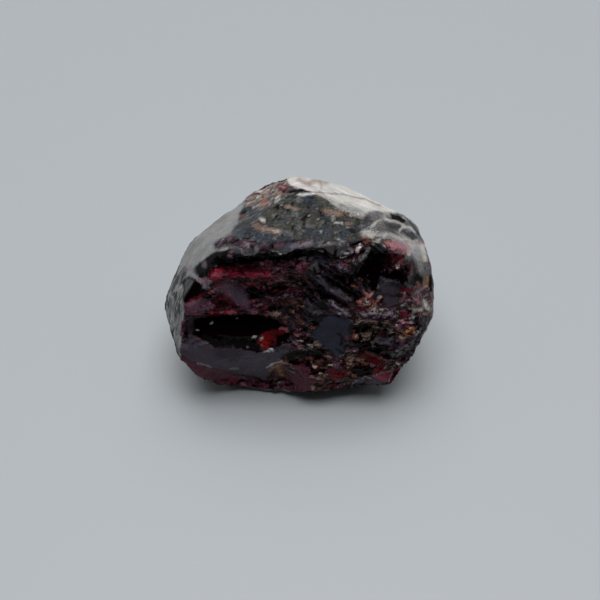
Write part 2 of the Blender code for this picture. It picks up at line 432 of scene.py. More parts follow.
# -------- colours
# The kinds of colour on the stone: the base colour, how rough it is, and how grainy its shade is. A
# kind with a grain below 0 calms the grain that the break has of its own.
KINDS = {
    # The next kind, a matt black, is painted shade: laid where recesses, cavities, crust pits and the feet of
    # flakes lie in shadow, so that they neither shine nor show the floor. It also makes one black dot on the
    # top.
    "soot": ((0.006, 0.005, 0.005), 0.85, 0.3),
    "slate": ((0.055, 0.055, 0.059), 0.6, 0.75),
    "navy": ((0.041, 0.053, 0.075), 0.5, 0.75),
    "olive": ((0.078, 0.076, 0.062), 0.55, 0.7),
    "ash": ((0.15, 0.145, 0.145), 0.5, 0.6),
    "grey": ((0.352, 0.343, 0.334), 0.5, 0.2),
    "cream": ((0.62, 0.58, 0.53), 0.45, 0.2),
    # The next kind, the cream face's chalk, is partly its own pale crust and partly painted sheen: the glare
    # of light on that satin face.
    "chalk": ((0.88, 0.83, 0.77), 0.5, 0.12),
    # The next kind, white, is painted highlight: the small glints on the glassy break and the light caught by
    # the crust's nodules and the bars' edges.
    "white": ((0.9, 0.87, 0.85), 0.3, 0.1),
    "lilac": ((0.27, 0.22, 0.25), 0.35, 0.3),
    "tan": ((0.34, 0.235, 0.18), 0.5, 0.4),
    "rust": ((0.155, 0.058, 0.042), 0.4, 0.5),
    # On the glassy break the next three kinds, steel, dusk and heather, are painted reflection: the slate
    # grey of the floor mirrored in its facets, laid on as colour. Steel and dusk are also the own colours of
    # some beads on the skin.
    "steel": ((0.036, 0.037, 0.06), 0.2, 0.12),
    "dusk": ((0.05, 0.038, 0.051), 0.25, 0.0),
    "heather": ((0.082, 0.062, 0.084), 0.25, -0.2),
    "mauve": ((0.132, 0.062, 0.09), 0.25, 0.4),
    "plum": ((0.11, 0.03, 0.048), 0.2, 0.45),
    "oxblood": ((0.032, 0.004, 0.009), 0.2, 0.2),
    "maroon": ((0.095, 0.01, 0.014), 0.16, 0.1),
    "raspberry": ((0.30, 0.026, 0.060), 0.2, -0.35),
    "crimson": ((0.22, 0.013, 0.030), 0.2, -0.2),
    "rose": ((0.41, 0.185, 0.215), 0.35, 0.4),
    "salmon": ((0.36, 0.13, 0.11), 0.35, 0.4),
    # The next kind, scarlet, is painted light: the red glints of light inside the stone.
    "scarlet": ((0.19, 0.007, 0.006), 0.15, -0.2),
    "amber": ((0.36, 0.17, 0.08), 0.3, 0.5),
}
# The bare stone.
WINE = (0.0035, 0.0004, 0.0008)
WINE_ROUGHNESS = 0.12

# The colour that each face of the crystal starts from. A face that isn't named starts from slate.
# The pale skins of the cream face, the left faces and the right rim and right face are partly their own pale
# crust and partly painted sheen: the glare of light on these satin faces.
FACE_SKINS = {
    "cream": "chalk", "right_shoulder": "cream", "grey_left": "grey", "left_shoulder": "grey",
    "left_front": "grey", "right_rim": "ash", "right": "ash",
}
STRIPED_FACES = ("left_front", "left", "right_rim")
# The faces that the photograph shows.
SEEN_FACES = ("top", "cream", "grey_left", "left_shoulder", "left_front", "right_shoulder", "right_rim",
              "right", "right_low_front", "front_low", "front_low_right")

# A kind with a share of 1 covers its field, and the others lie over it in soft patches of these shares.
MIXES = {
    "streaks": {"wine": 1, "maroon": 0.3, "plum": 0.26, "mauve": 0.12, "crimson": 0.06},
    "dark_hackle": {"wine": 1, "dusk": 0.2, "steel": 0.16, "plum": 0.14, "rust": 0.08},
    "brown_hackle": {"wine": 1, "plum": 0.16, "mauve": 0.12, "rust": 0.2, "tan": 0.06},
    "tan_hackle": {"wine": 1, "plum": 0.2, "rust": 0.25, "tan": 0.3, "cream": 0.05},
    "pink_hackle": {"plum": 1, "wine": 0.28, "mauve": 0.3, "crimson": 0.1, "rose": 0.28, "tan": 0.14,
        "cream": 0.12},
    "red_hackle": {"wine": 1, "maroon": 0.3, "plum": 0.2, "rust": 0.2, "mauve": 0.12, "tan": 0.11},
    "slaty_hackle": {"wine": 1, "dusk": 0.4, "heather": 0.16},
    "striated": {"ash": 1, "grey": 0.55, "slate": 0.3},
    "mottled": {"slate": 1, "navy": 0.3, "olive": 0.25, "ash": 0.16},
    "back_skin": {"slate": 1, "olive": 0.35, "navy": 0.25, "oxblood": 0.12, "maroon": 0.08, "ash": 0.3,
        "grey": 0.08},
    "back_specks": {"wine": 0.07, "rust": 0.03, "tan": 0.03, "ash": 0.04, "cream": 0.01},
    "top_specks": {"wine": 0.1, "ash": 0.09, "grey": 0.03},
}
PATCH_SIZE = 0.55
PATCH_SOFTNESS = 0.26
# How much a flake's number moves the patches on it, and the factors that make new random values from
# that number.
FLAKE_PULL = 0.45
FLAKE_SHUFFLE = 5.3
SHADE_SHUFFLE = 7.31
# Each field has a seed of its own, and so has each kind in its mix.
FIELD_SEED = 400
FIELD_SEED_STEP = 70
KIND_SEED_STEP = 10
# The back's patches and specks are wider than the front's: their places are scaled by these.
BACK_PATCHES = 0.22
BACK_SPECKS = 0.8
# How far the noise is drawn out along the flakes: on the streaks and bars, and on the rest of the break.
# On the skin its places are scaled instead, which draws it upright on striped faces.
STREAK_STRETCH = 4.0
BREAK_STRETCH = 1.8
STRIPED_GRAIN = (2.2, 2.2, 0.15)
SKIN_GRAIN = (0.5, 0.5, 0.5)

# An outline is written as in SVG: the x,y of each corner in the photograph's pixels, with spaces
# between. The fields are laid one over the other: the mix or kind of colour, and the outline.
TOP_OUTLINE = (
    "239,222 243,209 262,203 280,195 300,196 318,197 335,205 355,213 360,222 366,236 330,249 295,252 "
    "262,256 238,254 226,246 230,237"
)
FIELDS = {
    "whole_break": ("dark_hackle", "160,240 440,240 440,400 160,400"),
    "left_face": ("grey", "180,265 197,237 230,207 252,192 252,201 243,209 239,221 228,238 216,250 200,260 "
        "190,272"),
    "top": ("mottled", TOP_OUTLINE),
    "top_blue": ("navy", "234,226 262,232 292,236 300,246 270,250 240,248 226,243"),
    "top_olive": ("olive", "262,205 300,203 322,212 318,228 290,230 262,222"),
    "top_brown": ("olive", "322,206 346,208 362,220 352,226 334,218"),
    "top_specks": ("top_specks", TOP_OUTLINE),
    "pebbly_corner": ("slate", "244,198 254,190 264,183 276,178 289,178 292,187 284,197 270,206 255,210 "
        "245,207"),
    "upper_left": ("streaks", "184,282 205,270 240,262 305,256 308,272 296,300 270,312 205,318 184,318"),
    "middle": ("brown_hackle", "284,276 305,272 308,292 306,330 296,326 272,318 266,306 280,296"),
    "dark_slate_hackle": ("slaty_hackle", "303,292 328,298 333,312 322,322 305,318"),
    "crusted_ridge": ("ash", "362,214 378,212 404,214 418,228 428,242 412,244 388,240 366,238 360,226"),
    "right_side": ("pink_hackle", "402,286 432,280 436,300 433,332 414,338 400,330 396,318 378,318 356,318 "
        "352,308 372,300 398,306"),
    "tan_streaks": ("tan_hackle", "352,320 378,320 374,332 368,342 352,340"),
    "by_wedge": ("tan_hackle", "376,323 388,319 393,327 402,334 412,337 402,340 384,335 376,331"),
    "below_slate": ("tan_hackle", "298,336 312,337 322,346 310,350 298,349"),
    "bottom": ("red_hackle", "268,362 290,352 330,354 356,348 386,358 408,362 404,380 388,390 345,390 "
        "300,396 275,392"),
    "right_edge": ("slaty_hackle", "416,316 436,316 436,334 412,360 404,358 410,340"),
    "left_strip": ("striated", "160,340 164,290 176,268 186,266 183,300 179,322 178,352 166,352"),
}
FIELD_SOFTNESS = 3.5
SOFT_FIELDS = ("top_blue", "top_olive", "top_brown", "middle", "right_side")
SOFT_FIELD_STRENGTH = 0.6
# The specks on the top are smaller than other patches by this factor.
FINE_GRAIN = 2.2

# Single marks. An area is its kind of colour ("wine" is the bare stone) and its outline, and a stroke
# has its width between them.
MARKS = {
    # the recess under the top edge, laid black as painted shade on the break and skin alike, and the ledge
    # below it, laid in the stone's reds made bright as a painted highlight where it faces up to the light
    "corner_shade": ("wine", "184,302 185,284 192,270 199,263 212,256 210,290"),
    "recess": ("wine", "199,262 216,253 226,251 240,255 260,258 306,255 306,259 270,261 255,265 230,266 "
        "215,269 206,275 198,272"),
    "recess_left": ("soot", "196,267 205,259 216,251 228,250 238,254 232,260 216,264 210,270 207,277 "
        "201,278 197,273"),
    "recess_red_spot": ("oxblood", 5, "204,262 205,266"),
    "grey_nub": ("mauve", 5, "231,253 231.5,256"),
    "grey_nub_light": ("lilac", 2.4, "231,254"),
    "nub_crumbs": ("ash", 3, "262,255 280,254"),
    "mauve_over_ledge": ("plum", "224,268 240,265 275,261 306,260 306,266 285,270 262,272 236,273"),
    "ledge_right": ("plum", "264,268 288,263 310,261 312,266 298,271 278,276 264,276"),
    # Painted highlight: the ledge faces up to the light, and its reds are laid brighter for it.
    "ledge": ("crimson", "207,279 212,271 222,268 236,267 262,270 272,274 262,277 240,277 224,281 212,282"),
    "ledge_left_end": ("maroon", "222,267 240,266 262,269 268,271 250,271 226,271"),
    "ledge_pink": ("raspberry", 2.6, "211,279 218,275 226,273"),
    "ledge_pink_2": ("crimson", 2.6, "216,272 222,270"),
    "ledge_highlight_line": ("raspberry", 2.4, "234,275 250,275.5 269,274"),
    "left_curl": ("lilac", 6, "190,268 192,275 199,280 208,282"),
    "left_curl_light": ("grey", 2.6, "191,272 196,278"),
    "left_curl_pink": ("rose", 2.4, "200,281 207,281"),
    "small_curl": ("lilac", 4.4, "201,287 207,286"),
    # Painted shade: the upper left corner is laid black, on the skin as well, where it lies in shadow.
    "left_black": ("wine", "185,277 192,278 200,284 204,290 198,296 186,299"),
    "left_corner_edge": ("soot", "183,301 183,281 188,276 196,279 194,286 189,295"),
    "left_dot": ("tan", 3.2, "194,295"),
    "left_corner": ("wine", "184,301 184,284 187,277 193,280 199,285 196,296"),
    "black_eye": ("wine", "245,289 256,288 266,295 262,300 250,299"),
    "streak_dark_1": ("wine", 2.2, "226,281 244,279 258,281"),
    "streak_dark_2": ("wine", 2.5, "262,287 278,285 284,290"),
    "streak_plum": ("maroon", 3, "246,284 262,282 276,279"),
    "salmon_line": ("salmon", 2.2, "210,293 215,288 224,286"),
    "mauve_facet_1": ("mauve", "213,288 222,284 226,280 234,281 245,288 249,301 259,304 253,311 241,306 "
        "229,297 218,291"),
    "mauve_facet_core": ("heather", "232,286 243,288 248,301 246,304 237,301 232,294"),
    "mauve_facet_2": ("plum", "250,303 265,302 268,308 258,311"),
    "maroon_line_1": ("crimson", 1.6, "225,293 217,302 209,312"),
    "maroon_line_2": ("mauve", 1.4, "212,291 222,289 231,296 240,307"),
    "maroon_facet": ("oxblood", "213,298 219,293 228,298 238,307 226,307 214,311"),
    "maroon_facet_glow": ("maroon", 4, "216,301 224,297 230,302"),
    "left_mauve_field": ("mauve", "188,303 200,298 212,300 208,308 196,313 186,312"),
    "crimson_sliver": ("maroon", "208,315.5 214,312 225,308.5 234,309.5 243,311 234,313.5 224,314.5 "
        "214,316"),
    "sliver_light": ("raspberry", 2.2, "225,312 236,310.5"),
    "sliver_gold": ("amber", 1.4, "211,315 213,312.5"),
    # the black flake and what shows in it
    "black_flake": ("wine", "184,318 208,317 243,314 262,314 275,321 286,326 290,337 281,342 270,352 "
        "258,352 240,348 224,347 214,347 203,340 193,334 190,328"),
    "left_purple": ("plum", 4.5, "183,323 182,336"),
    "black_flake_end": ("dusk", 5, "190,319 190,331"),
    # Painted shade: the lower wall of the black flake is laid matt black.
    "flake_foot": ("soot", 6, "204,337 216,343 236,344 250,345 257,348"),
    # Painted highlights: small glints on the black flake, white and one grey.
    "glint_1": ("white", 1, "210.5,323.5 212,322.5"),
    "glint_2": ("white", 1.3, "196,329 198,330"),
    "glint_3": ("white", 1.8, "238,318"),
    "glint_4": ("white", 2.6, "254,337"),
    "glint_5": ("grey", 1.7, "248,347"),
    # Painted light: the red glow is light glinting inside the stone, laid as maroon and scarlet with white
    # glints.
    "red_glow": ("maroon", "255,342 261,333 272,329 286,327 287,332 277,335 275,345 271,351 262,351"),
    "red_glow_body": ("scarlet", "258,339 263,334 270,333 272,341 269,348 262,348"),
    "red_glow_pit": ("maroon", 3, "267,342 268,345"),
    "red_glow_top": ("crimson", 1.6, "261,335 267,332 274,331"),
    "red_glow_spark": ("tan", 3, "260,340 262,337"),
    "red_glow_white": ("white", 2.8, "261.5,338.5"),
    "red_glow_right": ("scarlet", 4.5, "280,330 286,329"),
    "red_glow_right_line": ("rose", 1.6, "281,328 286,328 287,331"),
    "glow_foot": ("white", 4.5, "265,353 272,351"),
    # the slate-coloured shell along the lower left, its slate a painted reflection of the floor
    "shell": ("heather", "178,351 184,343 191,334 204,341 214,347.5 224,347.5 240,348.5 258,353 272,352 "
        "284,344 291,347 283,356 272,366 267,380 248,377 222,370 204,366 188,359"),
    "shell_mauve": ("dusk", "213,349 228,347 240,350 243,356 230,362 216,357"),
    "shell_low": ("plum", "179,355 190,360 204,367 222,371 248,378 268,382 273,389 250,389 230,386 212,382 "
        "195,375 184,366"),
    "shell_dark_line": ("wine", 1.6, "240,375 254,377 270,384"),
    "shell_hairline_1": ("grey", 0.6, "197,363 204,364.5 211,367"),
    "shell_hairline_2": ("grey", 0.6, "230,370 239,368"),
    "shell_pink_spot": ("crimson", 3.6, "231,381 236,382"),
    "shell_pink_speck": ("rose", 1.4, "241,384.5 245,385"),
    # along the bottom
    "amber_fan_body": ("rust", "274,367 283,363 286,369 284,377 279,379 275,373"),
    "amber_fan_1": ("amber", 1.8, "270,370 277,366 286,363"),
    "amber_fan_2": ("cream", 1.5, "268,367 274,363.5 282,361"),
    "amber_fan_3": ("amber", 1.8, "278,367 280,373 283,379"),
    "amber_fan_4": ("rust", 1.2, "275,369 278,376"),
    "amber_fan_5": ("wine", 1.2, "282,365 285,373"),
    "bottom_black": ("wine", "284,352 300,350 325,350 320,357 300,356 288,360"),
    "bottom_plum": ("plum", "281,379 296,374 310,379 312,393 294,395 282,391"),
    "bottom_mauve": ("plum", "294,366 304,363 311,370 306,377 296,375"),
    "bottom_mauve_2": ("mauve", "331,360 343,361 345,366 336,367"),
    # Painted light: a red glint of light inside the stone.
    "bottom_scarlet": ("maroon", "327,371 334,368 346,369 346,377 338,381 329,380"),
    "scarlet_cells": ("crimson", 1, "329,373 334,370 338,375 344,371"),
    "bottom_scarlet_light": ("scarlet", 2.2, "330,374 334,378 340,374 345,376"),
    "pink_blob": ("rose", 5.6, "295,343 299,345.5"),
    "pink_blob_red": ("rose", 2.2, "301,346 303,347"),
    "slate_streak": ("heather", "271,357 278,348 289,344 290,350 282,357"),
    # the slate facet in the middle, its steel a painted reflection of the floor
    "slate_facet": ("steel", "328,316 337,317 351,320 352,328 349,332 345,336 345,344 343,352 338,357 "
        "333,354 328,348 319,341 311,337 310,334 319,327 321,321"),
    "facet_dark_1": ("wine", 2.6, "338,334 343,338 341,344"),
    "facet_dark_2": ("wine", 2, "336,349 342,353"),
    # the slanting bars
    # Painted shade: the stone is laid bare and black under the ridge and the top edge, where they overhang.
    "black_under_ridge": ("wine", "304,255 330,250 360,242 366,244 352,258 340,260 320,258 304,260"),
    "under_top_edge": ("wine", "292,252 318,249 336,245 341,248 338,256 320,258 296,259"),
    "curved_line_1": ("heather", 2.2, "311,266 320,264 330,268 336,273"),
    "curved_line_2": ("dusk", 1.8, "306,258 320,257 328,261 334,266"),
    "mauve_block": ("mauve", "335,264 343,262 351,268 350,282 345,279 343,273 337,274"),
    "mauve_block_light": ("lilac", 4.6, "339,266 341,272"),
    "mauve_block_edge": ("lilac", 3.4, "346,268 348,275 347,280"),
    "slate_block": ("ash", 4.5, "354,261 358,264"),
    "upper_bar": ("heather", "319,276 327,278 340,288 350,297 347,302 340,299 327,290 319,281"),
    "upper_bar_edge": ("lilac", 1.6, "319,276 335,286 352,300"),
    "groove_1": ("wine", 4.5, "319,266 334,276 356,292"),
    "groove_2": ("wine", 4, "302,284 322,294 348,308"),
    "lower_bar": ("mauve", "327,298 333,299 346,307 356,315 347,317 334,313 328,305"),
    "lower_bar_core": ("lilac", 4.2, "333,304 342,310 350,315"),
    # Painted highlights: the light caught by the lower bar's edges.
    "lower_bar_light": ("white", 1.6, "331,300 334,302"),
    "lower_bar_light_2": ("white", 1.2, "338,313 341,314"),
    # the cavity at the upper right, laid black and matt as painted shade, and the crust around it
    "cavity": ("wine", "371,253 385,255 389,261 383,270 381,277 378,286 369,295 364,291 360,280 358,274 "
        "363,265"),
    "cavity_arm": ("wine", "382,270 396,272 412,276 419,271 422,279 413,286 404,282 394,279 382,279"),
    "pale_nodule": ("ash", 6, "343,255 350,251"),
    "nodule_blue": ("lilac", 2, "344,255 349,253"),
    "pink_nodule": ("rose", 6, "357,250 362,247"),
    # Painted highlights: the pale nodule's top and its tail are laid white for the light that they catch.
    "pink_nodule_light": ("white", 3.4, "357,249 361,246"),
    "nodule_tail": ("white", 4.5, "368,248 366,254 361,260"),
    "nodule_hole": ("wine", 3, "361,253 363,252"),
    "rust_corner": ("rust", 5, "363,238 369,242"),
    "grey_nodules": ("ash", 7, "375,243 382,248"),
    "grey_nodule_light": ("cream", 3.6, "373,243 378,241"),
    "pink_patch": ("rose", "386,243 396,240 408,244 411,252 400,254 390,253"),
    "pink_patch_red": ("salmon", 3.4, "385,242 388,245"),
    "arm_top": ("oxblood", "386,257 404,260 414,260 420,268 418,274 408,276 394,271 384,268"),
    "purple_patch": ("maroon", "389,253 402,254 404,261 394,262"),
    # Painted highlights: the lilac and violet glints beside the cavity's arm.
    "lilac_glint": ("rose", 5, "392,268 398,267 402,269"),
    "lilac_white": ("white", 1.8, "396,267 403,267.5"),
    "red_glint": ("oxblood", 3, "406,261 411,265 414,268"),
    "violet_glint": ("mauve", 3.2, "404,271 411,273"),
    "cavity_foot": ("soot", 5, "366,280 366,292"),
    "arm_end": ("soot", "414,277 419,270 423,275 422,284 415,286"),
    # Painted sheen: the pale band on the right rim is light that it reflects.
    "rim_sheen": ("grey", "412,247 418,246 422,254 423,266 421,275 418,271 416,264 413,256"),
    "rim_dark": ("plum", 3.4, "427,247 429,256 430,264"),
    "rim_chips": ("rose", 1.6, "413,243 420,242 426,244"),
    "ochre_spot": ("amber", 5, "427,278 426,285"),
    "rim_foot": ("rust", 3, "417,283 421,288"),
    "cream_ridge": ("cream", 3.8, "364,234 378,233 390,235 404,239 415,242"),
    "cream_chip_1": ("cream", 2.4, "369,227 374,224 380,220"),
    "cream_ring": ("cream", 2.4, "399,232 403,227 410,227 415,232"),
    # Painted shade: the first dark chip is a pit in the crust, laid matt black.
    "dark_chip_1": ("soot", "390,214 398,215 406,221 402,223 391,219"),
    "dark_chip_2": ("slate", "384,223 392,222 400,227 398,231 388,229"),
    "dark_chip_3": ("slate", "408,233 413,232 418,238 413,240"),
    "dark_chip_5": ("slate", "362,216 369,214 371,222 368,228 364,225"),
    "grey_chip_1": ("ash", "371,213 378,212 384,216 378,219 371,218"),
    "grey_chip_2": ("ash", "374,226 380,223 387,230 381,232 374,231"),
    "cream_chip_2": ("cream", 1.6, "385,220 394,221 404,225"),
    "cream_chip_3": ("cream", 1.2, "384,214 387,219"),
    # the right side
    "slate_facet_2": ("heather", "380,278 392,279 401,286 398,294 385,294 377,288"),
    "slate_facet_3": ("heather", "384,296 399,297 399,305 386,305"),
    "grey_facet": ("mauve", "380,312 392,308 400,316 393,320 383,319"),
    "grey_facet_light": ("lilac", 4, "384,315 392,312 397,316"),
    "red_spot": ("rust", 3.4, "354,285 358,286"),
    "red_spot_2": ("rust", 2.6, "361,279"),
    "cluster": ("salmon", "357,300 363,297 365,292 369,297 375,299 374,307 366,309 358,306"),
    "cluster_ray_1": ("salmon", 1.8, "366,302 363,290"),
    "cluster_ray_2": ("salmon", 1.5, "367,301 373,292"),
    "cluster_ray_3": ("salmon", 1.8, "368,303 380,300"),
    "cluster_light": ("cream", 2.4, "366,300 368,304"),
    "cluster_ball": ("cream", 3.4, "380,297"),
    "cluster_ball_2": ("tan", 3.4, "376,310 382,310"),
    "cluster_red": ("maroon", 4, "352,305 358,309 365,310"),
    "cluster_foot": ("lilac", 4, "357,314 370,314 380,313"),
    "crimson_by_rim": ("crimson", 4, "401,290 410,291"),
    "lilac_blob": ("cream", 3.4, "424,301 427,308"),
    "rose_by_rim": ("rose", 5, "401,320 411,322"),
    "rim_rose": ("rose", 2.4, "413,297 420,303"),
    "rim_maroon": ("raspberry", 4, "402,313 407,316"),
    "rim_pale": ("cream", 3, "411,322 414,311 422,309"),
    "rim_pale_line": ("lilac", 2, "411,297 419,291 425,286"),
    # Painted shade: the dark edge of the rim is laid matt black.
    "rim_black": ("soot", 3.4, "430,276 431,290"),
    "scarlet_wedge": ("rose", "390,325 396,323 403,330 401,333"),
    "amber_patch": ("rust", "402,334 408,326 415,327 413,336 405,337"),
    "amber_patch_light": ("amber", 3, "404,333 409,329 413,331"),
    "black_shelf": ("wine", "353,341 364,340 378,341 388,347 388,352 372,351 358,347"),
    "dark_strip": ("heather", 3, "376,337 392,339 404,341"),
    "slate_wisps": ("heather", "389,354 399,346 410,342 411,348 402,356 393,358"),
    "slate_wisp_2": ("ash", 3.2, "391,356 402,352 410,345"),
    "wisp_light": ("grey", 1.2, "396,351 402,347 411,343"),
    "glass_wedge": ("dusk", "412,338 420,332 425,335 414,349 410,347"),
    "glass_edge": ("grey", 1.8, "420,328 415,337 411,346"),
    "glass_edge_2": ("ash", 1.3, "425,334 415,348"),
    # the lower right corner, with red glints of light inside the stone laid as painted light
    "red_triangle": ("maroon", "360,352 368,352 387,363 384,368 368,366 360,364"),
    "triangle_edge": ("salmon", 0.8, "366,352 376,357 389,363"),
    "gold_crumbs": ("amber", 3, "362,358 366,364"),
    "corner_black": ("wine", "351,366 372,368 371,375 358,376 351,374"),
    "corner_scarlet": ("maroon", "372,368 383,366 386,370 378,374 371,376"),
    "corner_scarlet_light": ("scarlet", 3, "375,371 381,369"),
    "rose_chip": ("mauve", "374,377 383,373 393,372 391,378 387,383 379,381"),
    "rose_chip_glow": ("raspberry", 2.4, "381,377 388,376"),
    "rose_chip_edge": ("rose", 1, "371,377 376,374 384,372 393,371"),
    "rose_chip_side": ("rose", 0.8, "393,371 391,377 388,382"),
    "chip_maroon": ("maroon", "395,366 403,366 406,372 400,384 388,389 383,385 390,382 395,376"),
    "chip_edge": ("cream", 1.6, "397,363 400,367 403,370"),
    "slate_chip": ("heather", "347,388 353,383 360,377 372,377 381,382 378,386 362,387 352,391"),
    "slate_chip_edge": ("lilac", 1.8, "352,385 360,378 371,378"),
    # the top and the cream face
    "apex_brown": ("maroon", "276,187 280,183 286,184 294,188 293,193 283,193"),
    "apex_pink": ("rose", 2.6, "280,186 284,188"),
    "cream_corner": ("chalk", "287,180 294,174 314,174 316,192 304,189 292,186"),
    "apex_black": ("wine", "286,190 294,189 310,190.5 311,192 298,192 290,194"),
    "cream_sliver": ("chalk", 2.4, "298,195 306,194.5 314,194"),
    "top_black_spot": ("slate", 5, "242,214 246,210 250,209"),
    "top_black_dot": ("soot", 2.6, "243,213 245,211"),
    "top_rust": ("rust", 3.6, "241,218 244,217"),
    "top_cream_spot": ("cream", 3.4, "261,219 264,221"),
    "top_tan_streak": ("tan", 4, "257,226 266,229 279,232"),
    "top_tan_bright": ("cream", 1.8, "274,232 279,232.5"),
    "top_tan_spot": ("tan", 3.2, "286,206 292,207 298,209"),
    "top_salmon": ("tan", 4.6, "326,211 333,212 340,213"),
    "top_white_crumbs": ("cream", 1.7, "334,223 342,223.5"),
    "top_pink_crumbs": ("tan", 2.4, "346,223 351,224"),
    "ridge_pink": ("lilac", 3.4, "293,247 301,245 311,243"),
    "ridge_specks": ("lilac", 1.2, "318,246 332,244 343,242"),
    "cream_smear_1": ("ash", 4, "318,197 330,203 340,209"),
    "cream_smear_2": ("cream", 6, "334,203 350,211 362,214"),
    "slate_smear_1": ("olive", 3, "316,199 324,203 333,208"),
    "top_red_dot": ("rust", 2, "343,213 348,214"),
    "slate_smear_2": ("grey", 3, "342,207 352,210 360,211"),
    "cream_tint": ("salmon", 2, "300,180 308,184 316,180 326,183"),
    "cream_crack": ("rust", 0.5, "311,192 330,193 348,195 365,199 380,206"),
    "cream_crack_2": ("tan", 0.5, "318,178 322,186 320,192"),
}
MARK_SOFTNESS = 2.2

# Marks with a soft edge.
SOFT_MARKS = (
    "mauve_over_ledge", "ledge_right", "ledge", "ledge_left_end", "ledge_pink", "ledge_pink_2",
    "ledge_highlight_line", "mauve_facet_1", "mauve_facet_core", "shell_mauve", "pink_patch", "rim_sheen",
    "cream_ridge", "dark_chip_2", "dark_chip_5", "grey_chip_1", "grey_chip_2", "cluster_red",
    "rose_chip_glow", "top_tan_streak", "top_salmon", "ridge_pink", "cream_smear_1", "cream_smear_2",
    "slate_smear_1", "slate_smear_2", "cream_tint",
)
WIDE_SOFTNESS = 7.0

# How far noise moves the edges of fields and marks, as (pixels, size of its lumps, seed), and how much
# of the way to its flake's middle each place's colour is taken from.
X_SHAKES = ((1.4, 0.5, 71), (1.2, 1.6, 76))
Y_SHAKES = ((1.2, 0.5, 81), (1.0, 1.6, 86))
FLAKE_SNAP = 0.3

# The colours of the beads: the kind, and the lowest and highest bead number that has it.
CORNER_BEADS = (
    ("tan", 0.0, 0.36), ("cream", 0.36, 0.58), ("salmon", 0.58, 0.62), ("rust", 0.62, 0.7),
    ("rose", 0.7, 0.74), ("grey", 0.74, 0.88),
)
EDGE_BEADS = (
    ("dusk", 0.0, 0.3), ("plum", 0.3, 0.5), ("steel", 0.5, 0.65), ("mauve", 0.65, 0.74),
    ("ash", 0.74, 0.84), ("lilac", 0.84, 0.89),
)
BEAD_CONTRAST = 2.0
BEAD_EDGE = 0.3
BEAD_GAPS = ("ash", "wine")
GAP_SHARE = 0.8
BEADED_EDGE = "218,245 228,240 240,243 262,247 282,246 300,244"
BEADED_EDGE_WIDTH = 8.0
BEADED_EDGE_SOFTNESS = 4.0
BEAD_HEIGHT = 0.24
COVER_SOFTNESS = 6.0
# The crust's colours, from its pits to its tops: the kind, the lump's height where it has half its
# strength, and the height over which it comes in. The first comes in downwards.
# The slate in the pits is painted shade; the grey and cream are the crust's own colours.
CRUST_KINDS = (("slate", -0.3, -0.3), ("grey", 0.05, 0.4), ("cream", 0.3, 0.3))
CRUST_HEIGHT = 0.4
RIM_HEIGHT = 0.3
# Beside the apex the skin dips along this line.
APEX_HOLLOW = "262,186 272,180 281,178"
APEX_HOLLOW_WIDTH = 10.0
APEX_HOLLOW_SOFTNESS = 12.0
APEX_HOLLOW_DEPTH = 0.55


def sight_pixels(points):
    """Where each point shows in the photograph's frame, x and y."""
    up = np.cross(TO_CAMERA, BREAK_RIGHT)
    offset = points - (CAMERA_TARGET + CAMERA_DISTANCE * TO_CAMERA)
    scale = PHOTO_SIZE * CAMERA_LENS / SENSOR_WIDTH / -(offset @ TO_CAMERA)
    return PHOTO_SIZE / 2 + scale * (offset @ BREAK_RIGHT), PHOTO_SIZE / 2 - scale * (offset @ up)


def line_share(x, y, outline, soft, width=0):
    """1 inside an outline, or within a stroke of this width along it, and 0 elsewhere, with a soft edge."""
    points = [tuple(map(float, corner.split(","))) for corner in outline.split()]
    closed = width == 0
    gap = np.full_like(x, np.inf)
    inside = np.zeros(len(x), bool)
    for (ax, ay), (bx, by) in zip(points, [*points[1:], points[0] if closed else points[-1]]):
        length = (bx - ax) ** 2 + (by - ay) ** 2 or 1.0
        part = np.clip(((x - ax) * (bx - ax) + (y - ay) * (by - ay)) / length, 0, 1)
        gap = np.minimum(gap, np.hypot(x - ax - part * (bx - ax), y - ay - part * (by - ay)))
        if closed and ay != by:
            crosses = (ay > y) != (by > y)
            inside ^= crosses & (x < ax + (y - ay) * (bx - ax) / (by - ay))
    depth = np.where(inside, gap, -gap) if closed else width / 2 - gap
    return np.clip(0.5 + depth / soft, 0, 1)


def paint(masks, kind, share):
    """Lay one kind of colour over the others. Wine, the bare stone, only takes the others away."""
    for other in masks:
        masks[other] *= 1 - share
    if kind in masks:
        masks[kind] += share


def paint_mix(masks, mix, grain, number, share, seed):
    """Lay a mix of kinds over the others in soft patches, or a single kind."""
    for order, (kind, part) in enumerate(MIXES.get(mix, {mix: 1}).items()):
        cover = 1.0
        if part < 1:
            patches = fractal_noise(grain, PATCH_SIZE, seed + KIND_SEED_STEP * order)
            patches = patches + FLAKE_PULL * ((number * (order + FLAKE_SHUFFLE)) % 1 - 0.5)
            cover = np.clip(0.5 + (patches - np.quantile(patches, 1 - part)) / PATCH_SOFTNESS, 0, 1)
        paint(masks, kind, share * cover)


def nearest_faces(points):
    """The number of the crystal face that each point lies on, with slightly wavy borders."""
    wobble = BORDER_WOBBLE * fractal_noise(points, size=1.5, seed=61)[:, None]
    return (face_distances(points) + wobble * np.linspace(-1, 1, len(FACE_NAMES))).argmax(axis=1)


def lies_on(nearest, names):
    """Whether each point lies on one of these faces."""
    return np.isin(nearest, [FACE_NAMES.index(name) for name in names])


def grain_places(points, broken, striped):
    """Where the colours' noise is read: drawn out along the flakes on the break, upright on striped faces."""
    u, v, _ = break_places(points)
    streaked, barred = streaked_and_barred(u, v)
    along, aside = np.where(barred, turned(u, v, BAR_AREA[3]), turned(u, v, STREAK_AREA[3]))
    along = along / np.where(barred | streaked, STREAK_STRETCH, BREAK_STRETCH)
    flat = np.column_stack([along, aside, np.zeros_like(along)])
    skin = points * np.where(striped[:, None], STRIPED_GRAIN, SKIN_GRAIN)
    return np.where(broken[:, None], flat, skin)


